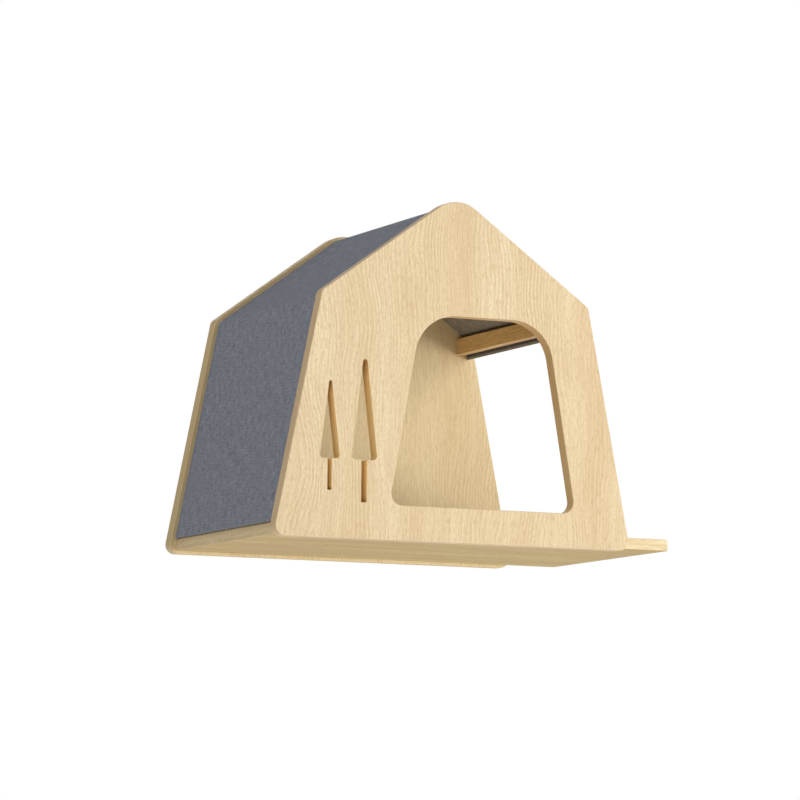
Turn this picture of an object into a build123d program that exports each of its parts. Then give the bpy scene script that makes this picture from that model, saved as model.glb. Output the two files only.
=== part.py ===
from build123d import *
import os
from math import asin, atan, atan2, cos, hypot, pi, radians, tan

# Wall-hung cat house. X runs along the wall to the right, +Y goes into the wall and Z up.
# The back face lies in the wall plane, and the origin is the centre of the four wall screws.

# Overall sizes
overall_length = 450.0
overall_depth = 300.0
overall_height = 350.0

# Gable outline, the same for both panels
foot_width = 400.0
eave_width = 300.0
roof_pitch = radians(35.9)
apex_radius = 36.0
eave_radius = 8.0
foot_radius = 10.0
panel_thickness = 15.0
panel_edge_round = 0.8

# Doorway in the front panel
doorway_centre = 31.6
doorway_sill = 35.7
doorway_top = 232.0
doorway_sill_width = 209.5
doorway_top_width = 141.2
doorway_top_radius = 46.0
doorway_sill_radius = 12.0

# Tree cut-outs: the small one stands outside, the tall one beside the doorway
tree_canopy_foot = 79.8
trunk_foot_radius = 1.0
small_tree_centre = -139.4
small_tree_top = 158.8
small_tree_width = 22.6
small_tree_tip_radius = 1.6
small_tree_base_radius = 3.5
small_trunk_width = 4.7
small_trunk_foot = 47.8
tall_tree_centre = -101.4
tall_tree_top = 182.3
tall_tree_width = 29.2
tall_tree_tip_radius = 2.5
tall_tree_base_radius = 4.5
tall_trunk_width = 6.2
tall_trunk_foot = 36.8

# Floor board with its step
floor_thickness = 12.0
floor_lift = 3.0
step_corner_radius = 3.0
step_edge_round = 1.0

# Fabric cover
cover_recess = 4.0
cover_thickness = 2.5
cover_gap = 0.3
cover_side_gap = 0.4
cover_ridge_radius = 27.0
cover_fold_radius = 3.2
cover_hem_height = 17.5
flap_drop = 4.9

# Rails between the panels
eave_rail_inset = 7.5
eave_rail_width = 10.0
eave_rail_height = 17.5
ridge_rail_width = 28.0
ridge_rail_height = 16.0
foot_rail_width = 10.0
foot_rail_margin = 1.3
rail_edge_round = 0.6

# Hook-and-loop tapes
hook_thickness = 1.0
loop_thickness = 1.0
tape_width = 16.0
tape_end_inset = 3.0
tape_gap = 0.3
flap_hem_width = 2.5
foot_hem_width = 1.5

# Glued dowels at the front panel
dowel_radius = 3.0
dowel_length = 25.0
dowel_panel_depth = 10.0
dowel_chamfer = 0.6
dowel_play = 0.05
dowel_end_play = 0.5

# Countersunk screws at the back panel
screw_radius = 2.0
screw_length = 35.0
screw_head_radius = 4.0
screw_tip_length = 4.0
screw_sink = 0.3
screw_play = 0.2
pilot_play = 0.04
pilot_end_play = 0.5
cross_width = 0.9
cross_span = 4.4
cross_depth = 1.2
sink_angle = 90

# Places of the dowels and screws along the floor and the ridge rail
floor_joint_count = 4
floor_joint_pitch = 100.0
ridge_joint_count = 2
ridge_joint_pitch = 14.0

# Holes for the wall screws
wall_hole_radius = 2.75
wall_hole_sink_radius = 5.5
wall_hole_spacing_x = 120.0
wall_hole_low = 40.0
wall_hole_top_drop = 65.0

# Worked out from the sizes above
wall_hole_spacing_z = overall_height - wall_hole_low - wall_hole_top_drop
centre_height = wall_hole_low + wall_hole_spacing_z / 2
front_distance = overall_depth - panel_thickness
bay_depth = overall_depth - 2 * panel_thickness
apex_height = overall_height + apex_radius * (1 / cos(roof_pitch) - 1)
eave_height = apex_height - eave_width / 2 * tan(roof_pitch)
side_lean = (foot_width - eave_width) / 2 / eave_height
side_angle = atan(side_lean)
foot_tangent = foot_radius * tan((pi / 2 + side_angle) / 2)
gable_reach = foot_width / 2 - foot_tangent + foot_radius
floor_top = floor_lift + floor_thickness
step_reach = overall_length - gable_reach
cover_inset = cover_recess + cover_thickness
frame_inset = cover_inset + cover_gap
eave_rail_reach = eave_width / 2 - eave_rail_inset
flap_inside = eave_rail_reach + hook_thickness + tape_gap + loop_thickness
flap_outside = flap_inside + cover_thickness
foot_rail_inset = cover_inset + loop_thickness + tape_gap + hook_thickness


def upright(distance):
    """The plane at a distance before the wall that faces the room.

    Its own x is measured from the gable's centre line, its own y from the panels' bottom edge.
    """
    return Plane(origin=(0, -distance, -centre_height), x_dir=(1, 0, 0), z_dir=(0, -1, 0))


def to_room(x, height, distance):
    """The plane at one point of the gable that faces the room, for what goes towards the wall."""
    return Plane(origin=(x, -distance, height - centre_height), x_dir=(1, 0, 0), z_dir=(0, -1, 0))


def to_wall(x, height, distance):
    """The plane at one point of the gable that faces the wall, for what goes into the room."""
    return Plane(origin=(x, -distance, height - centre_height), x_dir=(-1, 0, 0), z_dir=(0, 1, 0))


def side_reach(height, inset):
    """How far the gable's side is from the centre line, moved in by an inset."""
    return foot_width / 2 - side_lean * height - inset / cos(side_angle)


def roof_height(reach, inset):
    """How high the roof slope is at a reach from the centre line, moved in by an inset."""
    return apex_height - reach * tan(roof_pitch) - inset / cos(roof_pitch)


def eave_corner(inset):
    """Reach and height of the corner between side and slope, both moved in by an inset."""
    reach = side_reach(roof_height(0, inset), inset) / (1 - side_lean * tan(roof_pitch))
    return reach, roof_height(reach, inset)


def row(count, pitch, height):
    """Places of evenly spaced joints about the centre line, all at one height."""
    return [((step - (count - 1) / 2) * pitch, height) for step in range(count)]


def gable_face():
    """The outline of both panels, with rounded feet, eaves and apex."""
    foot = foot_width / 2
    eave = eave_width / 2
    with BuildLine() as outline:
        FilletPolyline(
            (foot, 0),
            (eave, eave_height),
            (0, apex_height),
            (-eave, eave_height),
            (-foot, 0),
            close=True,
            radius=[foot_radius, eave_radius, apex_radius, eave_radius, foot_radius],
        )
    make_face(outline.edges())


def doorway_cut():
    """The doorway: narrower at the top, with wide round corners above and small ones below."""
    sill = doorway_sill_width / 2
    top = doorway_top_width / 2
    with BuildLine() as outline:
        FilletPolyline(
            (doorway_centre + sill, doorway_sill),
            (doorway_centre + top, doorway_top),
            (doorway_centre - top, doorway_top),
            (doorway_centre - sill, doorway_sill),
            close=True,
            radius=[
                doorway_sill_radius, doorway_top_radius, doorway_top_radius, doorway_sill_radius
            ],
        )
    make_face(outline.edges(), mode=Mode.SUBTRACT)


def tree_cut(centre, top, width, tip_radius, base_radius, trunk_width, trunk_foot):
    """A tree-shaped opening: a slim canopy with rounded corners over a narrow trunk."""
    half = width / 2
    rise = top - tree_canopy_foot - tip_radius
    # The canopy's sides touch the circle of its tip, which gives their angle to the upright.
    lean = atan2(half, rise) - asin(tip_radius / hypot(half, rise))
    with BuildLine() as outline:
        FilletPolyline(
            (centre + half, tree_canopy_foot),
            (centre, tree_canopy_foot + half / tan(lean)),
            (centre - half, tree_canopy_foot),
            close=True,
            radius=[base_radius, tip_radius, base_radius],
        )
    make_face(outline.edges(), mode=Mode.SUBTRACT)
    trunk_half = trunk_width / 2
    trunk_top = tree_canopy_foot + base_radius
    with BuildLine() as outline:
        FilletPolyline(
            (centre + trunk_half, trunk_top),
            (centre + trunk_half, trunk_foot),
            (centre - trunk_half, trunk_foot),
            (centre - trunk_half, trunk_top),
            close=True,
            radius=[0, trunk_foot_radius, trunk_foot_radius, 0],
        )
    make_face(outline.edges(), mode=Mode.SUBTRACT)


# Places of the joints: dowels hold each of them in front, screws at the back
eave_rail_top = roof_height(eave_rail_reach, frame_inset)
eave_rail_foot = eave_rail_top - eave_rail_height
flap_foot_height = eave_rail_foot - flap_drop
eave_rail_middle = eave_rail_reach - eave_rail_width / 2
ridge_radius = cover_ridge_radius - cover_thickness - cover_gap
ridge_rail_top = roof_height(0, frame_inset) - ridge_radius * (1 / cos(roof_pitch) - 1)
left_hook_foot = cover_hem_height + foot_hem_width
foot_rail_top = left_hook_foot + tape_width * cos(side_angle) + foot_rail_margin
foot_rail_middle = (floor_top + foot_rail_top) / 2
foot_rail_outside = side_reach(floor_top, foot_rail_inset)
foot_rail_inside = foot_rail_outside - foot_rail_width

floor_joints = row(floor_joint_count, floor_joint_pitch, floor_lift + floor_thickness / 2)
right_eave_joints = [(eave_rail_middle, eave_rail_top - eave_rail_height / 2)]
left_eave_joints = [(-x, height) for x, height in right_eave_joints]
ridge_joints = row(ridge_joint_count, ridge_joint_pitch, ridge_rail_top - ridge_rail_height / 2)
foot_joints = [(-(side_reach(foot_rail_middle, foot_rail_inset) + foot_rail_inside) / 2, foot_rail_middle)]
rail_joints = right_eave_joints + left_eave_joints + ridge_joints + foot_joints
all_joints = floor_joints + rail_joints


def joint_holes(places):
    """Drills a piece of the bay: dowel holes in its front end, screw pilots in its back end."""
    with Locations(*[to_room(x, height, front_distance) for x, height in places]):
        Hole(dowel_radius + dowel_play, dowel_length - dowel_panel_depth + dowel_end_play)
    with Locations(*[to_wall(x, height, panel_thickness) for x, height in places]):
        Hole(screw_radius + pilot_play, screw_length + pilot_end_play - panel_thickness)


# Front panel: doorway, two trees and blind dowel holes in its rear face
with BuildPart() as front_panel:
    with BuildSketch(upright(front_distance)):
        gable_face()
        doorway_cut()
        tree_cut(
            small_tree_centre,
            small_tree_top,
            small_tree_width,
            small_tree_tip_radius,
            small_tree_base_radius,
            small_trunk_width,
            small_trunk_foot,
        )
        tree_cut(
            tall_tree_centre,
            tall_tree_top,
            tall_tree_width,
            tall_tree_tip_radius,
            tall_tree_base_radius,
            tall_trunk_width,
            tall_trunk_foot,
        )
    extrude(amount=panel_thickness)
    for face in front_panel.faces().filter_by(Axis.Y):
        doorway_wire = face.inner_wires().sort_by(SortBy.LENGTH)[-1]
        fillet(face.outer_wire().edges() + doorway_wire.edges(), panel_edge_round)
    with Locations(*[to_wall(x, height, front_distance) for x, height in all_joints]):
        Hole(dowel_radius + dowel_play, dowel_panel_depth + dowel_end_play)
front_panel.part.label = "front_panel"

# Back panel: screw holes sunk from behind, wall screw holes sunk from the room side
wall_holes = [
    (x, height)
    for x in (-wall_hole_spacing_x / 2, wall_hole_spacing_x / 2)
    for height in (wall_hole_low, wall_hole_low + wall_hole_spacing_z)
]
with BuildPart() as back_panel:
    with BuildSketch(upright(0)):
        gable_face()
    extrude(amount=panel_thickness)
    for face in back_panel.faces().filter_by(Axis.Y):
        fillet(face.outer_wire().edges(), panel_edge_round)
    with Locations(*[to_wall(x, height, 0) for x, height in all_joints]):
        CounterSinkHole(
            radius=screw_radius + screw_play,
            counter_sink_radius=screw_head_radius + screw_sink + screw_play,
            counter_sink_angle=sink_angle,
        )
    with Locations(*[to_room(x, height, panel_thickness) for x, height in wall_holes]):
        CounterSinkHole(
            radius=wall_hole_radius,
            counter_sink_radius=wall_hole_sink_radius,
            counter_sink_angle=sink_angle,
        )
back_panel.part.label = "back_panel"

# Floor board: its left end leans with the gable's side, its right end is the step
with BuildPart() as floor_board:
    with BuildSketch(upright(panel_thickness)):
        with BuildLine():
            Polyline(
                (-side_reach(floor_lift, frame_inset), floor_lift),
                (step_reach, floor_lift),
                (step_reach, floor_top),
                (-side_reach(floor_top, frame_inset), floor_top),
                close=True,
            )
        make_face()
    extrude(amount=bay_depth)
    step_face = floor_board.faces().sort_by(Axis.X)[-1]
    fillet(step_face.edges().filter_by(Axis.Z), step_corner_radius)
    fillet(floor_board.edges().group_by(Axis.X)[-1].filter_by(Axis.Y), step_edge_round)
    joint_holes(floor_joints)
floor_board.part.label = "floor_board"

# Right eave rail: an upright batten whose top outer edge holds the fold of the cover
with BuildPart() as right_eave_rail:
    with BuildSketch(upright(panel_thickness)):
        with Locations((eave_rail_reach, eave_rail_top)):
            Rectangle(eave_rail_width, eave_rail_height, align=(Align.MAX, Align.MAX))
    extrude(amount=bay_depth)
    fillet(right_eave_rail.edges().filter_by(Axis.Y), rail_edge_round)
    joint_holes(right_eave_joints)
right_eave_rail.part.label = "right_eave_rail"

# Left eave rail: the same batten on the other side
with BuildPart() as left_eave_rail:
    mirror(right_eave_rail.part, about=Plane.YZ)
left_eave_rail.part.label = "left_eave_rail"

# Ridge rail: its top is as round as the inside of the cover's ridge
with BuildPart() as ridge_rail:
    with BuildSketch(upright(panel_thickness)):
        eave_reach, eave_level = eave_corner(frame_inset)
        with BuildLine():
            FilletPolyline(
                (eave_reach, eave_level),
                (0, roof_height(0, frame_inset)),
                (-eave_reach, eave_level),
                close=True,
                radius=[0, ridge_radius, 0],
            )
        make_face()
        with Locations((0, ridge_rail_top)):
            Rectangle(ridge_rail_width, 2 * ridge_rail_height, mode=Mode.INTERSECT)
    extrude(amount=bay_depth)
    fillet(ridge_rail.edges().filter_by(Axis.Y).group_by(Axis.Z)[0], rail_edge_round)
    joint_holes(ridge_joints)
ridge_rail.part.label = "ridge_rail"

# Left foot rail: stands on the floor's left end and leans with the cover's wall
with BuildPart() as left_foot_rail:
    with BuildSketch(upright(panel_thickness)):
        with BuildLine():
            Polyline(
                (-foot_rail_outside, floor_top),
                (-side_reach(foot_rail_top, foot_rail_inset), foot_rail_top),
                (-foot_rail_inside, foot_rail_top),
                (-foot_rail_inside, floor_top),
                close=True,
            )
        make_face()
    extrude(amount=bay_depth)
    fillet(left_foot_rail.edges().filter_by(Axis.Y).group_by(Axis.Z)[-1], rail_edge_round)
    joint_holes(foot_joints)
left_foot_rail.part.label = "left_foot_rail"

# Fabric cover: left wall, both slopes and the plumb flap behind the right eave
left_out = eave_corner(cover_recess)
left_in = eave_corner(cover_inset)
fold_out = cover_fold_radius
fold_in = cover_fold_radius - cover_thickness
with BuildPart() as roof_cover:
    with BuildSketch(upright(panel_thickness + cover_side_gap)):
        with BuildLine():
            outside = FilletPolyline(
                (-side_reach(cover_hem_height, cover_recess), cover_hem_height),
                (-left_out[0], left_out[1]),
                (0, roof_height(0, cover_recess)),
                (flap_outside, roof_height(flap_outside, cover_recess)),
                (flap_outside, flap_foot_height),
                radius=[fold_out, cover_ridge_radius, fold_out],
            )
            inside = FilletPolyline(
                (-side_reach(cover_hem_height, cover_inset), cover_hem_height),
                (-left_in[0], left_in[1]),
                (0, roof_height(0, cover_inset)),
                (flap_inside, roof_height(flap_inside, cover_inset)),
                (flap_inside, flap_foot_height),
                radius=[fold_in, cover_ridge_radius - cover_thickness, fold_in],
            )
            Line(outside @ 0, inside @ 0)
            Line(outside @ 1, inside @ 1)
        make_face()
    extrude(amount=bay_depth - 2 * cover_side_gap)
roof_cover.part.label = "roof_cover"

# Tapes: hooks on the rails, loops inside the cover, with a gap between each pair
tape_plane = upright(panel_thickness + tape_end_inset)
tape_length = bay_depth - 2 * tape_end_inset
right_hook_foot = eave_rail_foot + (eave_rail_height - tape_width) / 2


def leaning_strip(foot, inset, thickness):
    """Section of a tape on the leaning left wall, from an inset inwards by its thickness."""
    top = foot + tape_width * cos(side_angle)
    with BuildLine() as outline:
        Polyline(
            (-side_reach(foot, inset), foot),
            (-side_reach(top, inset), top),
            (-side_reach(top, inset + thickness), top),
            (-side_reach(foot, inset + thickness), foot),
            close=True,
        )
    make_face(outline.edges())


with BuildPart() as right_hook_tape:
    with BuildSketch(tape_plane):
        with Locations((eave_rail_reach, right_hook_foot)):
            Rectangle(hook_thickness, tape_width, align=(Align.MIN, Align.MIN))
    extrude(amount=tape_length)
right_hook_tape.part.label = "right_hook_tape"

with BuildPart() as right_loop_tape:
    with BuildSketch(tape_plane):
        with Locations((flap_inside, flap_foot_height + flap_hem_width)):
            Rectangle(loop_thickness, tape_width, align=(Align.MAX, Align.MIN))
    extrude(amount=tape_length)
right_loop_tape.part.label = "right_loop_tape"

with BuildPart() as left_hook_tape:
    with BuildSketch(tape_plane):
        leaning_strip(left_hook_foot, foot_rail_inset - hook_thickness, hook_thickness)
    extrude(amount=tape_length)
left_hook_tape.part.label = "left_hook_tape"

with BuildPart() as left_loop_tape:
    with BuildSketch(tape_plane):
        leaning_strip(cover_hem_height + foot_hem_width, cover_inset, loop_thickness)
    extrude(amount=tape_length)
left_loop_tape.part.label = "left_loop_tape"

# One dowel, its axis upright and its front end at the origin
with BuildPart() as dowel:
    Cylinder(dowel_radius, dowel_length, align=(Align.CENTER, Align.CENTER, Align.MIN))
    chamfer(dowel.edges().filter_by(GeomType.CIRCLE), dowel_chamfer)


def dowel_places(places):
    """Where the dowels' front ends lie, inside the front panel."""
    return [to_wall(x, height, front_distance + dowel_panel_depth) for x, height in places]


with BuildPart() as floor_dowels:
    with Locations(*dowel_places(floor_joints)):
        add(dowel.part)
floor_dowels.part.label = "floor_dowels"

with BuildPart() as rail_dowels:
    with Locations(*dowel_places(rail_joints)):
        add(dowel.part)
rail_dowels.part.label = "rail_dowels"

# One screw, its axis upright and its head's top at the origin
head_height = screw_head_radius - screw_radius
with BuildPart() as screw:
    with BuildSketch(Plane.XZ):
        with BuildLine():
            Polyline(
                (0, 0),
                (screw_head_radius, 0),
                (screw_radius, -head_height),
                (screw_radius, screw_tip_length - screw_length),
                (0, -screw_length),
                close=True,
            )
        make_face()
    revolve(axis=Axis.Z)
    with BuildSketch(Plane.XY):
        Rectangle(cross_span, cross_width)
        Rectangle(cross_width, cross_span)
    extrude(amount=-cross_depth, mode=Mode.SUBTRACT)


def screw_places(places):
    """Where the tops of the screw heads lie, sunk a little below the back face."""
    return [to_wall(x, height, screw_sink) for x, height in places]


with BuildPart() as floor_screws:
    with Locations(*screw_places(floor_joints)):
        add(screw.part)
floor_screws.part.label = "floor_screws"

with BuildPart() as rail_screws:
    with Locations(*screw_places(rail_joints)):
        add(screw.part)
rail_screws.part.label = "rail_screws"

pieces = [
    front_panel,
    back_panel,
    floor_board,
    right_eave_rail,
    left_eave_rail,
    ridge_rail,
    left_foot_rail,
    roof_cover,
    right_hook_tape,
    right_loop_tape,
    left_hook_tape,
    left_loop_tape,
    floor_dowels,
    rail_dowels,
    floor_screws,
    rail_screws,
]
os.makedirs("parts", exist_ok=True)
for piece in pieces:
    export_step(piece.part, f"parts/{piece.part.label}.step")
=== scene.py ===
from math import atan, ceil, cos, exp, pi, radians, sin, sqrt, tan

import bpy
from mathutils import Matrix, Vector, noise


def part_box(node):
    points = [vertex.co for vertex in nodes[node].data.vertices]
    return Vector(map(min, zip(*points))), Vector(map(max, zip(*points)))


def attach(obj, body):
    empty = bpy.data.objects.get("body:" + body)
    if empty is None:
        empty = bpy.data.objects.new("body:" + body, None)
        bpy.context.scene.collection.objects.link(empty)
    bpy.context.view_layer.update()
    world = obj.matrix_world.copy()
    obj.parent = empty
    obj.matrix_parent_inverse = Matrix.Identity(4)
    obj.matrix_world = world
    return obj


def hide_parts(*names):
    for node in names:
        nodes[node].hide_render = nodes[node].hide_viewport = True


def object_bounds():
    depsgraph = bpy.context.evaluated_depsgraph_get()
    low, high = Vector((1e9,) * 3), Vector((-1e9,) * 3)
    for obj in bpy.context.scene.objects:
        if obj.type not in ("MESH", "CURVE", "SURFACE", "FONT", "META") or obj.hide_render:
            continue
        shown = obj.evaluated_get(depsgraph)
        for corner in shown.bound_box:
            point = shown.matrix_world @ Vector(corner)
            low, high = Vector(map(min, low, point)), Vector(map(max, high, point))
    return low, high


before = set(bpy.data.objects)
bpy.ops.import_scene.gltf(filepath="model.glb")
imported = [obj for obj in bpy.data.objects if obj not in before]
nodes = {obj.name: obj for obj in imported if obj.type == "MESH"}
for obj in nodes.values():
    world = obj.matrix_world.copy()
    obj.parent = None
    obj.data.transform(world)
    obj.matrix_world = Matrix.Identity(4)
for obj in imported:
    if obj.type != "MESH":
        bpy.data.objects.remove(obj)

cad_low, cad_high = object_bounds()

# A wall-hung cat house, in metres. X runs along the wall to the right, +Y goes into the wall, Z up.
X, Y, Z = 0, 1, 2

# Camera, placed and turned as the photograph was taken: from the left, a little below, in degrees
camera_place = (-2.0414, -4.6918, -0.5432)
camera_turn = 24.254
camera_tilt = 6.201
camera_roll = 0.598
camera_focal_pixels = 4779.45
camera_reach = 100.0
picture_pixels = 800
sensor_width = 36.0

# Studio: the house hangs high over a wide pale floor that glows a little, as a lit studio floor does
floor_drop = 6.0
floor_radius = 60.0
floor_sides = 96
floor_glow = 0.74
white = (1.0, 1.0, 1.0, 1.0)
background_strength = 1.0
ambient_strength = 0.30

# Lamps: place, point lit, brightness of a white card there that faces the lamp, size and cone
house_centre = (cad_low + cad_high) / 2
lamps = {
    "right_lamp": ((3.0, -2.4, -0.8), house_centre, 0.60, 1.5, 180),
    "front_lamp": ((2.0, -3.2, 1.2), house_centre, 0.355, 2.0, 180),
    "top_lamp": ((-1.5, -1.0, 3.0), house_centre, 0.345, 2.4, 180),
    "rear_lamp": ((1.6, 3.8, 0.9), house_centre, 0.25, 2.6, 180),
    "roof_fill": ((-0.06, -0.12, -0.12), (0.11, -0.12, 0.10), 0.115, 0.1, 110),
}

# Shape of the cover's section, the same sizes as the construction has
roof_pitch = radians(35.9)
side_angle = atan(0.2001)
cover_thickness = 0.0025
ridge_radius = 0.027
fold_radius = 0.0032
flap_hem = 0.0025
tape_thickness = 0.001

# How much wider the dressed cover is on each side, and how far its left hem hangs lower
side_ease = 0.0003
hem_drop = 0.0015

# Mesh of the cloth: its step, the least step kept, the steps behind a rim and those of a bend
cloth_step = 0.003
least_step = 0.00006
rim_steps = (0.0, 0.00008, 0.0003, 0.00065, 0.00125, 0.0022)
bend_steps = 5
bend_step_angle = radians(4)

# Cloth: how it hangs between the rails, and its hems and the seams in them
cloth_sag = 0.0003
cloth_ripple = 0.00025
ripple_frequency = 14.0
slack_margin = 0.03
hem_width = 0.0065
hem_rise = 0.00012
seam_depth = 0.0002
seam_width = 0.0009

# Rows that sew the tapes on, measured along the cloth from the left hem and from the flap's foot
left_hem = 0.0015
tape_margin = 0.004
hem_shift = hem_drop / cos(side_angle)
left_rows = (0.0030 + hem_shift, 0.0160 + hem_shift)
flap_rows = (0.0040, 0.0170)

# Seams: pitch of the stitches, length of one and radius of the thread
hem_seam = (0.0036, 0.0027, 0.0002)
tape_seam_outside = (0.0095, 0.0045, 0.0002)
tape_seam_inside = (0.0095, 0.0045, 0.0003)

# One stitch: shares of its length with the height over the cloth, in thread radii
stitch_shares = ((0.0, -1.0), (0.12, -0.1), (0.35, 0.35), (0.65, 0.35), (0.88, -0.1), (1.0, -1.0))
thread_sides = 6

# Wood figure: how often each part of it comes in a metre across the board, through it and along
wander_rates = (11.0, 4.0, 5.5)
waver_rates = (35.0, 20.0, 24.0)
broad_rates = (24.0, 12.0, 2.0)
band_rates = (75.0, 50.0, 5.0)
line_rates = (520.0, 380.0, 17.0)
fleck_rates = (760.0, 760.0, 110.0)
speck_rates = (700.0, 700.0, 260.0)
layer_rates = (25.0, 300.0, 14.0)
ring_drift_rates = (22.0, 12.0, 1.6)
ring_strength_rates = (32.0, 20.0, 5.0)

# Wood figure: how far the fibres wander, and the growth rings' pitch, unevenness and sharpness
wander_width = 0.050
waver_width = 0.007
ring_pitch = 0.0041
ring_drift = 24.0
ring_edge = (-0.6, 1.0)

# Wood figure: the least and the most that each part turns the colour to its darker tone
broad_shares = (-0.05, 0.75)
band_shares = (0.0, 0.12)
ring_shares = (-0.15, 0.50)
speck_shares = (-0.10, 0.34)
line_shares = (-0.12, 0.42)
cut_line_shares = (0.0, 0.35)
fleck_edge = (0.52, 0.70)
fleck_share = 0.55
end_grain_share = 0.2

# Wood sides: the part of a face's normal where the look of each side begins, and where it is full
cut_side_turn = (0.80, 0.45)
end_grain_turn = (0.6, 0.95)
rim_shade_side_turn = (-0.5, -0.9)
top_side_turn = (0.2, 0.8)
painted_shade_side_turn = (-0.3, 0.3)

# Wood: blur of a gable's rim of painted shade and of a burn's sides, and the least share of a burn in a
# pale layer
rim_painted_shade_blur = 0.0004
burn_and_shade_blur = 0.002
least_burn_and_shade = 0.75

# Wood surface: strength and depth of its relief, how deep the flecks are in it, and its gloss
wood_relief = (0.22, 0.0004)
fleck_depth = 0.8
wood_roughness = (0.50, 0.62)
wood_gloss = {"Specular_IOR_Level": 0.25}

# Cover cloth: the weave's pitch, and how often its drift, slubs and blots come in a metre
weave_pitch = 0.00095
thread_drift_rates = (45.0, 45.0, 1.0)
slub_across_rates = (620.0, 90.0, 1.0)
slub_along_rates = (90.0, 620.0, 1.0)
blot_rates = (110.0, 90.0, 1.0)
thread_drift = 5.0
weave_edge = (-0.6, 0.6)
slub_shares = (-0.2, 1.2)
blot_shares = (0.38, 0.0)
cloth_relief = (0.45, 0.00025)
cloth_roughness = 0.92
cloth_gloss = {"Sheen_Weight": 0.08, "Sheen_Roughness": 0.5, "Specular_IOR_Level": 0.2}

# Tapes: how often their tufts come in a metre, and the rows of hooks or loops across the tape
tuft_rates = (1500.0, 1500.0, 1500.0)
hook_row_rates = (300.0, 300.0, 900.0)
loop_row_rates = (300.0, 700.0, 900.0)
tape_relief = (0.6, 0.0004)
tape_roughness = 0.85
tape_gloss = {"Sheen_Weight": 0.3, "Specular_IOR_Level": 0.3}

# Sewing thread, zinc plating and studio floor
twist_rates = (2600.0, 2600.0, 2600.0)
thread_relief = (0.5, 0.0001)
thread_roughness = 0.7
bloom_rates = (420.0, 420.0, 420.0)
scratch_rates = (3000.0, 300.0, 600.0)
zinc_relief = (0.15, 0.00005)
zinc_roughness = (0.28, 0.48)
mottle_rates = (1.3, 1.3, 1.3)
mottle_share = 0.06
floor_roughness = 0.9
floor_gloss = 0.1


def tone(red, green, blue):
    """A colour as it reads on a screen, 0 to 255, turned into the shader's linear values."""
    values = []
    for part in (red, green, blue):
        share = part / 255
        values.append(share / 12.92 if share <= 0.04045 else ((share + 0.055) / 1.055) ** 2.4)
    return (*values, 1.0)


class Paint:
    """One node material. Each method adds a node and gives its output."""

    def __init__(self, name):
        self.material = bpy.data.materials.new(name)
        self.material.use_nodes = True
        self.tree = self.material.node_tree
        self.shader = self.tree.nodes["Principled BSDF"]

    def add(self, kind, settings=None, **inputs):
        """A node whose inputs go by name, with _ for a space, or by number, as i0."""
        node = self.tree.nodes.new("ShaderNode" + kind)
        for name, value in (settings or {}).items():
            setattr(node, name, value)
        for name, value in inputs.items():
            key = int(name[1:]) if name[1:].isdigit() else name.replace("_", " ")
            self.feed(node.inputs[key], value)
        return node

    def feed(self, socket, value):
        """Links a node's output to the socket, or sets the socket to a plain value."""
        if isinstance(value, bpy.types.NodeSocket):
            self.tree.links.new(value, socket)
        else:
            socket.default_value = value

    def place(self):
        """Position in the object's own frame, which is the row's frame."""
        return self.add("TexCoord").outputs["Object"]

    def cloth_place(self):
        """Position on the flat cut of the cloth."""
        return self.add("TexCoord").outputs["UV"]

    def split(self, vector):
        return self.add("SeparateXYZ", Vector=vector).outputs

    def join(self, x, y, z):
        return self.add("CombineXYZ", X=x, Y=y, Z=z).outputs[0]

    def times(self, vector, factors):
        """The vector with each of its parts times its own factor."""
        settings = {"operation": "MULTIPLY"}
        return self.add("VectorMath", settings, i0=vector, i1=factors).outputs[0]

    def math(self, operation, first, second=0.0, third=0.0):
        settings = {"operation": operation}
        return self.add("Math", settings, i0=first, i1=second, i2=third).outputs[0]

    def noise(self, place, rates, detail=1.0, rough=0.5):
        """Soft noise around 0.5 that comes so many times in a metre along each axis."""
        inputs = {"Vector": self.times(place, rates), "Detail": detail, "Roughness": rough}
        return self.add("TexNoise", Scale=1.0, **inputs).outputs[0]

    def step(self, value, low, high):
        """0 below low, 1 above high, smooth between. With low above high it falls instead."""
        settings = {"interpolation_type": "SMOOTHSTEP"}
        return self.add("MapRange", settings, Value=value, i1=low, i2=high).outputs[0]

    def within(self, value, low, high, blur):
        """1 from low to high and 0 outside."""
        above = self.step(value, low - blur, low)
        below = self.step(value, high + blur, high)
        return self.math("MULTIPLY", above, below)

    def span(self, value, low, high):
        """A noise's usual range, 0.3 to 0.7, spread over low to high."""
        return self.add("MapRange", Value=value, i1=0.3, i2=0.7, i3=low, i4=high).outputs[0]

    def mix(self, share, first, second):
        """The first colour, turned to the second by the share."""
        settings = {"data_type": "RGBA"}
        return self.add("Mix", settings, i0=share, i6=first, i7=second).outputs[2]

    def bump(self, height, strength, distance):
        return self.add("Bump", Strength=strength, Distance=distance, Height=height).outputs[0]

    def finish(self, colour, rough, normal=None, **uniform):
        """Feeds the shader. uniform values are the same all over and sit on its own sockets."""
        self.feed(self.shader.inputs["Base Color"], colour)
        self.feed(self.shader.inputs["Roughness"], rough)
        if normal is not None:
            self.feed(self.shader.inputs["Normal"], normal)
        for name, value in uniform.items():
            self.shader.inputs[name.replace("_", " ")].default_value = value
        return self.material


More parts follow.
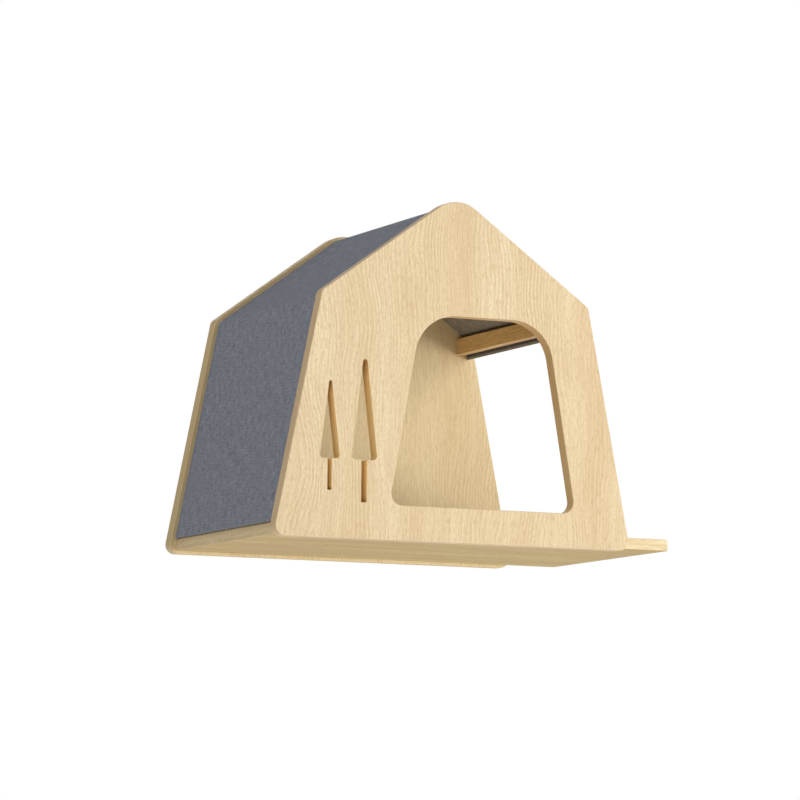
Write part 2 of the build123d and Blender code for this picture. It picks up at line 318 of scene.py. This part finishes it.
class Grain:
    """Fibres that run along one axis of a board and wander sideways, and the noises on them.

    along and through are axis numbers: the way the fibres run, and the board's thickness.
    """

    def __init__(self, paint, along, through, seed):
        self.place = paint.split(paint.place())
        self.normal = paint.split(paint.add("TexCoord").outputs["Normal"])
        self.facing = self.normal[through]
        self.end_facing = self.normal[along]
        across, depth = self.place[3 - along - through], self.place[through]
        length = paint.math("ADD", self.place[along], seed)
        straight = paint.join(across, depth, length)
        # The wandering slants and bends the figure.
        wander = paint.math("SUBTRACT", paint.noise(straight, wander_rates), 0.5)
        waver = paint.math("SUBTRACT", paint.noise(straight, waver_rates), 0.5)
        shift = paint.math("MULTIPLY", wander, wander_width)
        jitter = paint.math("MULTIPLY", waver, waver_width)
        moved = paint.math("ADD", across, paint.math("ADD", shift, jitter))
        bent = paint.join(moved, depth, length)
        self.broad = paint.noise(bent, broad_rates, detail=2.0)
        self.bands = paint.noise(bent, band_rates)
        self.lines = paint.noise(bent, line_rates, detail=2.0)
        self.flecks = paint.noise(bent, fleck_rates)
        self.specks = paint.noise(straight, speck_rates)
        self.layers = paint.noise(straight, layer_rates, detail=2.0)
        # Growth rings are fine lines at an uneven pitch, which fade in and out.
        uneven = paint.math("MULTIPLY", paint.noise(bent, ring_drift_rates), ring_drift)
        turned = paint.math("MULTIPLY_ADD", moved, 2 * pi / ring_pitch, uneven)
        self.rings = paint.step(paint.math("SINE", turned), *ring_edge)
        self.ring_strength = paint.noise(bent, ring_strength_rates)


def wood_face(paint, grain, tones, contrast):
    """The wide faces: streaks and bands, then growth rings, specks, lines and flecks."""
    def share(value, shares):
        return paint.span(value, shares[0] * contrast, shares[1] * contrast)

    ground, streak, fibre = tones
    least, most = broad_shares
    colour = paint.mix(paint.span(grain.broad, least, most * contrast), ground, streak)
    colour = paint.mix(share(grain.bands, band_shares), colour, streak)
    ringed = paint.math("MULTIPLY", grain.rings, share(grain.ring_strength, ring_shares))
    colour = paint.mix(ringed, colour, fibre)
    colour = paint.mix(share(grain.specks, speck_shares), colour, fibre)
    colour = paint.mix(share(grain.lines, line_shares), colour, fibre)
    flecked = paint.step(grain.flecks, *fleck_edge)
    return paint.mix(paint.math("MULTIPLY", flecked, fleck_share * contrast), colour, fibre)


def gable_rim_painted_shade(paint, place):
    """1 on the strip of a gable outside the cover's left wall and its slopes, 0 inside them: where
    painted shade goes along the gable's outline.
    """
    low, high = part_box("roof_cover")
    wall = paint.math("MULTIPLY_ADD", place[Z], tan(side_angle), low.x - low.z * tan(side_angle))
    beyond_wall = paint.math("SUBTRACT", wall, place[X])
    apex = high.z + ridge_radius * (1 / cos(roof_pitch) - 1)
    aside = paint.math("ABSOLUTE", place[X])
    above_slope = paint.math("ADD", paint.math("MULTIPLY_ADD", aside, tan(roof_pitch), -apex), place[Z])
    return paint.step(paint.math("MAXIMUM", beyond_wall, above_slope), -rim_painted_shade_blur, rim_painted_shade_blur)


def cut_sides(paint, grain, cut, fibre, layering, singed_and_shaded):
    """The cut sides: the board's layers, its end grain, and brown in the openings, partly the cutter's
    singe and partly painted bounce light and shade; sides that face right get a darker brown, which is
    painted shade.
    """
    colour = paint.mix(paint.span(grain.layers, *layering), cut, fibre)
    colour = paint.mix(paint.span(grain.lines, *cut_line_shares), colour, fibre)
    end = paint.step(paint.math("ABSOLUTE", grain.end_facing), *end_grain_turn)
    colour = paint.mix(paint.math("MULTIPLY", end, end_grain_share), colour, fibre)
    # Painted shade: cut sides that face right take the darker brown of each pair.
    right_side_painted_shade = paint.step(grain.normal[X], *painted_shade_side_turn)
    for left, right, low, high, blur, share, lit_and_shaded_browns in singed_and_shaded:
        beside = paint.within(grain.place[X], left, right, burn_and_shade_blur)
        inner = paint.math("MULTIPLY", beside, paint.within(grain.place[Z], low, high, blur))
        burnt_and_shaded = paint.math("MULTIPLY", inner, paint.span(grain.layers, least_burn_and_shade * share, share))
        colour = paint.mix(burnt_and_shaded, colour, paint.mix(right_side_painted_shade, *lit_and_shaded_browns))
    return colour


def wood(name, along, through, tones, contrast=1.0, seed=0.0, singed_and_shaded=(), rim=0.0,
         layering=(0.0, 0.9), upper=()):
    """Matt wood with its grain along one axis of a board that is thin through another.

    tones are the pale ground, the streaks, the dark fibres and the cut sides.
    singed lists where the cut sides turn brown: partly the cutter's singe, partly painted bounce light
    and shade.
    rim is how far painted shade darkens the room side of a gable along its outline, outside the cover.
    layering is the least and the most that a layer of the cut sides turns to the dark fibres.
    upper are the tones of the face that looks up, paler than those of the faces below, whose darker
    tones are painted shade.
    """
    paint = Paint(name)
    grain = Grain(paint, along, through, seed)
    *face_tones, cut = tones
    # Painted shade: only the face that looks up takes the paler tones, the others keep the darker ones.
    if upper:
        over = paint.step(grain.facing, *top_side_turn)
        face_tones = [paint.mix(over, *pair) for pair in zip(face_tones, upper)]
    fibre = face_tones[-1]
    face = wood_face(paint, grain, face_tones, contrast)
    # Painted shade along the gable's outline, on the room side outside the cover.
    if rim:
        rim_shade_strength = paint.math("MULTIPLY", paint.step(grain.facing, *rim_shade_side_turn), rim)
        outside = paint.math("MULTIPLY", gable_rim_painted_shade(paint, grain.place), rim_shade_strength)
        face = paint.mix(outside, face, fibre)
    sides = cut_sides(paint, grain, cut, fibre, layering, singed_and_shaded)
    sideways = paint.step(paint.math("ABSOLUTE", grain.facing), *cut_side_turn)
    height = paint.math("ADD", grain.lines, paint.math("MULTIPLY", grain.flecks, fleck_depth))
    normal = paint.bump(height, *wood_relief)
    rough = paint.span(grain.bands, *wood_roughness)
    return paint.finish(paint.mix(sideways, face, sides), rough, normal, **wood_gloss)


def cover_cloth(name, warp, weft, shade):
    """Blue-grey woven cloth: two sets of threads that run a little uneven, with darker blots."""
    paint = Paint(name)
    parts = paint.split(paint.cloth_place())
    flat = paint.join(parts[0], parts[1], 0.0)
    turns = 2 * pi / weave_pitch
    sway = paint.math("MULTIPLY", paint.noise(flat, thread_drift_rates), thread_drift)
    across = paint.math("SINE", paint.math("MULTIPLY_ADD", parts[0], turns, sway))
    along = paint.math("SINE", paint.math("MULTIPLY_ADD", parts[1], turns, sway))
    over = paint.step(paint.math("MULTIPLY", across, along), *weave_edge)
    slub_across = paint.noise(flat, slub_across_rates, detail=2.0, rough=0.6)
    slub_along = paint.noise(flat, slub_along_rates, detail=2.0, rough=0.6)
    blots = paint.noise(flat, blot_rates, detail=3.0, rough=0.65)
    thread_a = paint.mix(paint.span(slub_across, *slub_shares), shade, warp)
    thread_b = paint.mix(paint.span(slub_along, *slub_shares), shade, weft)
    colour = paint.mix(over, thread_a, thread_b)
    colour = paint.mix(paint.span(blots, *blot_shares), colour, shade)
    threads = paint.math("ADD", paint.math("ABSOLUTE", across), paint.math("ABSOLUTE", along))
    height = paint.math("ADD", threads, paint.math("ADD", slub_across, slub_along))
    return paint.finish(colour, cloth_roughness, paint.bump(height, *cloth_relief), **cloth_gloss)


def tape_pile(name, base, tip, row_rates):
    """Black hook or loop tape: a fine pile in rows."""
    paint = Paint(name)
    place = paint.place()
    tufts = paint.noise(place, tuft_rates, detail=2.0, rough=0.7)
    rows = paint.noise(place, row_rates)
    colour = paint.mix(paint.span(tufts, 0.0, 1.0), base, tip)
    normal = paint.bump(paint.math("ADD", tufts, rows), *tape_relief)
    return paint.finish(colour, tape_roughness, normal, **tape_gloss)


def thread(name, colour, shade):
    """Twisted sewing thread."""
    paint = Paint(name)
    twist = paint.noise(paint.place(), twist_rates)
    mixed = paint.mix(paint.span(twist, 0.0, 1.0), shade, colour)
    return paint.finish(mixed, thread_roughness, paint.bump(twist, *thread_relief))


def zinc(name, bright, dull):
    """Zinc-plated screw heads with a faint bloom."""
    paint = Paint(name)
    place = paint.place()
    bloom = paint.noise(place, bloom_rates, detail=3.0, rough=0.6)
    colour = paint.mix(paint.span(bloom, 0.0, 1.0), bright, dull)
    normal = paint.bump(paint.noise(place, scratch_rates), *zinc_relief)
    return paint.finish(colour, paint.span(bloom, *zinc_roughness), normal, Metallic=1.0)


def plain_floor(name, colour, shade):
    """Pale matt studio floor with a hardly visible mottle."""
    paint = Paint(name)
    mottle = paint.noise(paint.place(), mottle_rates, detail=3.0)
    mixed = paint.mix(paint.span(mottle, 0.0, mottle_share), colour, shade)
    glow = {"Emission_Color": colour, "Emission_Strength": floor_glow}
    return paint.finish(mixed, floor_roughness, None, Specular_IOR_Level=floor_gloss, **glow)


def give(material, *names):
    """Puts a material on CAD nodes."""
    for name in names:
        for slot in nodes[name].material_slots:
            slot.material = material


def new_piece(name, points, faces, material):
    """A smooth-shaded mesh object of one material."""
    mesh = bpy.data.meshes.new(name)
    mesh.from_pydata(points, [], faces)
    mesh.validate()
    mesh.materials.append(material)
    mesh.polygons.foreach_set("use_smooth", [True] * len(mesh.polygons))
    piece = bpy.data.objects.new(name, mesh)
    bpy.context.scene.collection.objects.link(piece)
    return piece


class Straight:
    """A straight stretch of the cover's section, where the cloth is slack between two rails."""

    def __init__(self, begin, end):
        self.begin = begin
        self.length = (end - begin).length
        self.direction = (end - begin).normalized()
        self.steps = ceil(self.length / cloth_step)
        self.slack = 1.0

    def at(self, travelled):
        """Point and outward normal at a length along the stretch."""
        return self.begin + self.direction * travelled, Vector((-self.direction.y, self.direction.x))


class Bend:
    """A round fold or ridge of the cover's section, which turns clockwise and is held tight."""

    def __init__(self, corner, coming, going, radius):
        self.turn = coming.angle(going)
        cut = radius * tan(self.turn / 2)
        self.arm = Vector((-coming.y, coming.x)) * radius
        self.begin = corner - coming * cut
        self.centre = self.begin - self.arm
        self.end = corner + going * cut
        self.length = radius * self.turn
        self.steps = max(bend_steps, ceil(self.turn / bend_step_angle))
        self.slack = 0.0

    def at(self, travelled):
        """Point and outward normal at a length along the bend."""
        turned = Matrix.Rotation(-self.turn * travelled / self.length, 2) @ self.arm
        return self.centre + turned, turned.normalized()


def rounded_runs(corners, radii):
    """Straight stretches and round bends along a line of (x, z) corners."""
    corners = [Vector(corner) for corner in corners]
    runs = []
    begin = corners[0]
    for before, corner, after, radius in zip(corners, corners[1:], corners[2:], radii):
        bend = Bend(corner, (corner - before).normalized(), (after - corner).normalized(), radius)
        runs += [Straight(begin, bend.begin), bend]
        begin = bend.end
    return runs + [Straight(begin, corners[-1])]


def cloth_runs():
    """The line midway through the cloth, from the left hem over the ridge to the flap's foot."""
    low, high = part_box("roof_cover")
    half = cover_thickness / 2
    flap_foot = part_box("right_loop_tape")[0].z - flap_hem
    ridge_height = high.z + ridge_radius * (1 / cos(roof_pitch) - 1) - half / cos(roof_pitch)
    hem_x = low.x + half / cos(side_angle) - hem_drop * tan(side_angle)
    hem = Vector((hem_x, low.z - hem_drop))
    # The hem's side leans in until it meets the left slope.
    rise = ridge_height + hem.x * tan(roof_pitch) - hem.y
    rise /= 1 - tan(side_angle) * tan(roof_pitch)
    eave = (hem.x + rise * tan(side_angle), hem.y + rise)
    flap_x = high.x - half
    fold = (flap_x, ridge_height - flap_x * tan(roof_pitch))
    corners = [hem, eave, (0.0, ridge_height), fold, (flap_x, flap_foot)]
    return rounded_runs(corners, [fold_radius - half, ridge_radius - half, fold_radius - half])


def smooth(value):
    """0 below 0, 1 above 1, smooth between."""
    value = min(1.0, max(0.0, value))
    return value * value * (3 - 2 * value)


def near_ends(length):
    """Places just inside both ends of a length, where the cloth's rim is round."""
    return [*rim_steps, *(length - value for value in rim_steps)]


def spread(values):
    """Sorted values without those that lie almost on their neighbour."""
    kept = []
    for value in sorted(values):
        if not kept or value - kept[-1] > least_step:
            kept.append(value)
    return kept


class Cloth:
    """The cover's surface. A place on it is given by two lengths on the flat cut."""

    def __init__(self):
        low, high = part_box("roof_cover")
        self.runs = cloth_runs()
        self.length = sum(run.length for run in self.runs)
        self.width = high.y - low.y + 2 * side_ease
        self.front = low.y - side_ease

    def run_at(self, down):
        """The run that a length along the section falls in, and how far along it."""
        for run in self.runs:
            if down <= run.length:
                return run, down
            down -= run.length
        return self.runs[-1], self.runs[-1].length

    def rows(self):
        """Lengths along the section where the mesh has a row: dense at the rims and in the bends."""
        found = near_ends(self.length)
        travelled = 0.0
        for run in self.runs:
            found += [travelled + run.length * step / run.steps for step in range(run.steps + 1)]
            travelled += run.length
        return spread(found)

    def columns(self):
        """Lengths across the cloth where the mesh has a column: dense at the rims."""
        steps = ceil(self.width / cloth_step)
        even = [self.width * step / steps for step in range(steps + 1)]
        return spread(near_ends(self.width) + even)

    def groove(self, across, down):
        """How deep the seams draw the cloth in at this place."""
        side = min(across, self.width - across)
        up = self.length - down
        near = [abs(side - hem_width)]
        near += [abs(down - row) for row in left_rows]
        near += [abs(up - row) for row in flap_rows]
        return seam_depth * exp(-((min(near) / seam_width) ** 2))

    def half_thickness(self, across, down):
        """Half the thickness: full in the hems, thinner inside them, round at the rim."""
        from_side = min(across, self.width - across)
        from_end = min(down, self.length - down)
        full = cover_thickness / 2
        body = full - hem_rise * smooth((min(from_side, from_end) - hem_width) / hem_width)
        side = 1 - min(1.0, from_side / full)
        end = 1 - min(1.0, from_end / full)
        return body * sqrt(max(0.0, 1 - min(1.0, side * side + end * end)))

    def point(self, across, down, out):
        """The outer face where out is 1, the inner face where it is -1."""
        run, travelled = self.run_at(down)
        middle, normal = run.at(travelled)
        slack = run.slack * sin(pi * travelled / run.length) ** 2
        ends = smooth(min(across, self.width - across) / slack_margin)
        ripple = noise.noise(Vector((across, down, 0.0)) * ripple_frequency)
        shift = slack * ends * (cloth_ripple * ripple - cloth_sag)
        half = self.half_thickness(across, down)
        if out > 0:
            half -= min(half, self.groove(across, down))
        placed = middle + normal * (shift + out * half)
        return Vector((placed.x, self.front + across, placed.y))

    def normal(self, down):
        """The outward normal of the section at a length along it."""
        run, travelled = self.run_at(down)
        _, normal = run.at(travelled)
        return Vector((normal.x, 0.0, normal.y))


def cover_mesh(cloth, outer, lining_and_bounce):
    """A closed shell: the outer and the inner face meet along the round rim."""
    rows, columns = cloth.rows(), cloth.columns()
    last_row, last_column = len(rows) - 1, len(columns) - 1
    points, places, index = [], [], {}
    for out in (1, -1):
        for row, down in enumerate(rows):
            for column, across in enumerate(columns):
                rim = row in (0, last_row) or column in (0, last_column)
                if rim and out < 0:
                    index[out, row, column] = index[1, row, column]
                    continue
                index[out, row, column] = len(points)
                points.append(cloth.point(across, down, out))
                places.append((across, down))
    faces = []
    for row in range(last_row):
        for column in range(last_column):
            corners = [(row, column), (row, column + 1), (row + 1, column + 1), (row + 1, column)]
            faces.append([index[(1, *corner)] for corner in corners])
            faces.append([index[(-1, *corner)] for corner in reversed(corners)])
    piece = new_piece("fabric_cover", points, faces, outer)
    # The inner face takes the second material, whose warmer, lighter tone is partly painted bounce
    # light.
    piece.data.materials.append(lining_and_bounce)
    piece.data.polygons.foreach_set("material_index", [number % 2 for number in range(len(faces))])
    layer = piece.data.uv_layers.new(name="cut")
    for loop in piece.data.loops:
        layer.data[loop.index].uv = places[loop.vertex_index]
    return piece


def stitch(points, faces, begin, end, out, radius):
    """Adds one stitch: a thread that comes up out of the cloth, lies on it and goes down again."""
    along = (end - begin).normalized()
    side = out.cross(along)
    first = len(points)
    for share, height in stitch_shares:
        centre = begin.lerp(end, share) + out * (radius * height)
        for corner in range(thread_sides):
            angle = 2 * pi * corner / thread_sides
            points.append(centre + (side * cos(angle) + out * sin(angle)) * radius)
    rings = len(stitch_shares)
    for ring in range(rings - 1):
        for corner in range(thread_sides):
            following = (corner + 1) % thread_sides
            low, high = first + ring * thread_sides, first + (ring + 1) * thread_sides
            faces.append([low + corner, low + following, high + following, high + corner])
    faces.append([first + corner for corner in reversed(range(thread_sides))])
    faces.append([first + (rings - 1) * thread_sides + corner for corner in range(thread_sides)])


def sew(points, faces, seam, length, margin, place):
    """Adds a row of stitches. place gives point and outward normal at a length along the row."""
    pitch, stitch_length, radius = seam
    count = int((length - 2 * margin) / pitch)
    start = (length - count * pitch) / 2
    for number in range(count):
        middle = start + pitch * (number + 0.5)
        begin, out = place(middle - stitch_length / 2)
        end, _ = place(middle + stitch_length / 2)
        stitch(points, faces, begin, end, out, radius)


def cover_stitches(cloth, material):
    """The hem rows along both sides, and the rows that hold the tapes, seen from outside."""
    points, faces = [], []
    for across in (hem_width, cloth.width - hem_width):
        def beside(down, across=across):
            return cloth.point(across, down, 1), cloth.normal(down)
        sew(points, faces, hem_seam, cloth.length, hem_width, beside)
    for down in (*left_rows, *(cloth.length - row for row in flap_rows)):
        def over(across, down=down):
            return cloth.point(across, down, 1), cloth.normal(down)
        sew(points, faces, tape_seam_outside, cloth.width, 2 * hem_width, over)
    return new_piece("cover_stitches", points, faces, material)


def tape_stitches(material):
    """The same rows on the inside of the loop tapes."""
    points, faces = [], []
    low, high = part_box("right_loop_tape")
    for row in flap_rows:
        start = Vector((low.x, low.y, low.z - flap_hem + row))
        def upright(across, start=start):
            return start + Vector((0.0, across, 0.0)), Vector((-1.0, 0.0, 0.0))
        sew(points, faces, tape_seam_inside, high.y - low.y, tape_margin, upright)
    low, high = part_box("left_loop_tape")
    lean = Vector((sin(side_angle), 0.0, cos(side_angle)))
    facing = Vector((cos(side_angle), 0.0, -sin(side_angle)))
    foot = low + facing * tape_thickness
    for row in left_rows:
        start = foot + lean * (row - left_hem - hem_shift)
        def leaning(across, start=start):
            return start + Vector((0.0, across, 0.0)), facing
        sew(points, faces, tape_seam_inside, high.y - low.y, tape_margin, leaning)
    return new_piece("tape_stitches", points, faces, material)


def studio_floor():
    """Pale round floor far below the house."""
    rim = [2 * pi * side / floor_sides for side in range(floor_sides)]
    height = cad_low.z - floor_drop
    points = [(floor_radius * cos(angle), floor_radius * sin(angle), height) for angle in rim]
    material = plain_floor("pale_floor", tone(252, 252, 251), tone(225, 224, 222))
    new_piece("studio_floor", points, [list(range(floor_sides))], material)


def surroundings():
    """White behind the house, and a weaker even light on it from all sides."""
    world = bpy.data.worlds.new("white_surroundings")
    bpy.context.scene.world = world
    world.use_nodes = True
    tree = world.node_tree
    seen = tree.nodes["Background"]
    lighting = tree.nodes.new("ShaderNodeBackground")
    for background, strength in ((seen, background_strength), (lighting, ambient_strength)):
        background.inputs["Color"].default_value = white
        background.inputs["Strength"].default_value = strength
    choice = tree.nodes.new("ShaderNodeMixShader")
    rays = tree.nodes.new("ShaderNodeLightPath")
    tree.links.new(rays.outputs["Is Camera Ray"], choice.inputs[0])
    tree.links.new(lighting.outputs[0], choice.inputs[1])
    tree.links.new(seen.outputs[0], choice.inputs[2])
    tree.links.new(choice.outputs[0], tree.nodes["World Output"].inputs["Surface"])


def soft_light(name, place, target, level, size, cone):
    """A square lamp, brighter with distance so that a white card at the target gets the same level."""
    lamp = bpy.data.lights.new(name, "AREA")
    lamp.shape = "SQUARE"
    lamp.size = size
    lamp.spread = radians(cone)
    away = Vector(place) - Vector(target)
    lamp.energy = level * (pi * away.length) ** 2
    holder = bpy.data.objects.new(name, lamp)
    holder.location = place
    holder.rotation_mode = "QUATERNION"
    holder.rotation_quaternion = away.to_track_quat("Z", "Y")
    holder.visible_camera = False
    bpy.context.scene.collection.objects.link(holder)


def camera():
    """The photograph's camera: turned from +Y towards +X, tilted up, rolled a little."""
    lens = bpy.data.cameras.new("photo_camera")
    lens.sensor_width = sensor_width
    lens.lens = camera_focal_pixels / picture_pixels * sensor_width
    lens.clip_end = camera_reach
    holder = bpy.data.objects.new("photo_camera", lens)
    turn = Matrix.Rotation(radians(-camera_turn), 4, "Z")
    tilt = Matrix.Rotation(radians(90 + camera_tilt), 4, "X")
    roll = Matrix.Rotation(radians(camera_roll), 4, "Z")
    holder.matrix_world = Matrix.Translation(camera_place) @ turn @ tilt @ roll
    bpy.context.scene.collection.objects.link(holder)
    bpy.context.scene.camera = holder


studio_floor()
surroundings()
for lamp_name, lamp_values in lamps.items():
    soft_light(lamp_name, *lamp_values)
bpy.context.scene.view_settings.view_transform = "Standard"
camera()

# Tones of the woods: pale ground, streaks, dark fibres and cut sides
panel_tones = tone(224, 207, 171), tone(209, 183, 143), tone(186, 158, 118), tone(205, 179, 143)
# The back panel's cut-side tone, the last, is darker than the front panel's: painted shade on its
# sides.
back_tones_shaded_cut = tone(225, 206, 164), tone(210, 183, 137), tone(189, 160, 113), tone(186, 169, 130)
rail_tones = tone(221, 186, 123), tone(205, 164, 97), tone(178, 132, 71), tone(236, 210, 159)
# The floor board's underside tones are darker than its top's: painted shade on the underside.
floor_tones_shaded_underside = tone(192, 171, 107), tone(175, 147, 88), tone(155, 126, 72), tone(250, 230, 191)
floor_top_tones = tone(246, 231, 199), tone(235, 212, 173), tone(216, 189, 147)

# Browns of the cuts in the openings, partly singe and partly painted bounce light and shade: of the
# sides that face left, and the darker ones, painted shade, of those that face right
singed_and_shade_tones = tone(250, 220, 156), tone(218, 181, 120)
browned_and_bounce_tones = tone(240, 208, 146), tone(222, 194, 146)
scorched_and_shade_tones = tone(168, 116, 58), tone(150, 104, 56)

# Singed cuts, partly painted shade: left and right end, foot and top, blur of foot and top, how much,
# and the browns
small_tree_cuts = (-0.158, -0.122, -0.130, 0.002, 0.002, 1.0, singed_and_shade_tones)
tall_tree_cuts = (-0.120, -0.081, -0.130, 0.030, 0.002, 1.0, singed_and_shade_tones)
small_tree_tip = (-0.158, -0.122, -0.003, 0.002, 0.016, 0.55, scorched_and_shade_tones)
tall_tree_tip = (-0.120, -0.081, 0.019, 0.030, 0.020, 0.50, scorched_and_shade_tones)
small_trunk_foot = (-0.150, -0.129, -0.130, -0.1135, 0.003, 0.6, scorched_and_shade_tones)
tall_trunk_foot = (-0.110, -0.093, -0.130, -0.1245, 0.006, 0.5, scorched_and_shade_tones)
doorway_cuts = (-0.079, 0.145, -0.130, 0.075, 0.002, 0.6, browned_and_bounce_tones)
doorway_arch = (-0.079, 0.145, 0.010, 0.075, 0.110, 0.45, scorched_and_shade_tones)
tree_burns_and_shade = (small_tree_cuts, tall_tree_cuts, small_tree_tip, tall_tree_tip)
trunk_burns_and_shade = (small_trunk_foot, tall_trunk_foot)
front_burns_and_shade = (*tree_burns_and_shade, *trunk_burns_and_shade, doorway_cuts, doorway_arch)

give(wood("panel_wood_front", Z, Y, panel_tones, singed_and_shaded=front_burns_and_shade), "front_panel")
# The back panel carries painted shade along its outline on the room side, outside the cover.
give(wood("panel_wood_back", Z, Y, back_tones_shaded_cut, contrast=0.6, seed=0.83, rim=0.55), "back_panel")
floor_wood = wood("floor_wood", X, Z, floor_tones_shaded_underside, 1.8, layering=(0.2, 0.45), upper=floor_top_tones)
give(floor_wood, "floor_board")
rail_wood = wood("rail_wood", Y, X, rail_tones, seed=0.4)
give(rail_wood, "right_eave_rail", "left_eave_rail", "ridge_rail")
give(wood("foot_rail_wood", Y, X, panel_tones, seed=0.2), "left_foot_rail")
give(wood("dowel_wood", Y, X, rail_tones, seed=0.9), "floor_dowels", "rail_dowels")
hook_tape = tape_pile("hook_tape", tone(8, 8, 9), tone(34, 34, 36), hook_row_rates)
give(hook_tape, "right_hook_tape", "left_hook_tape")
loop_tape = tape_pile("loop_tape", tone(14, 14, 15), tone(44, 44, 47), loop_row_rates)
give(loop_tape, "right_loop_tape", "left_loop_tape")
give(zinc("screw_zinc", tone(205, 203, 196), tone(160, 158, 150)), "floor_screws", "rail_screws")

cloth = Cloth()
fabric = cover_cloth("cover_cloth", tone(157, 160, 171), tone(144, 148, 159), tone(94, 98, 107))
# The inner face's cloth is warmer and lighter than the outer: partly a lining's colour, partly painted
# bounce light under the roof.
lining_and_bounce = cover_cloth("cover_lining_and_bounce", tone(165, 155, 136), tone(152, 142, 124), tone(109, 100, 86))
cover = cover_mesh(cloth, fabric, lining_and_bounce)
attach(cover, "cover")
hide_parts("roof_cover")
seams = cover_stitches(cloth, thread("cloth_thread", tone(128, 134, 147), tone(96, 101, 112)))
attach(seams, "cover")
tape_seams = tape_stitches(thread("tape_thread", tone(122, 92, 58), tone(84, 62, 40)))
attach(tape_seams, "cover")
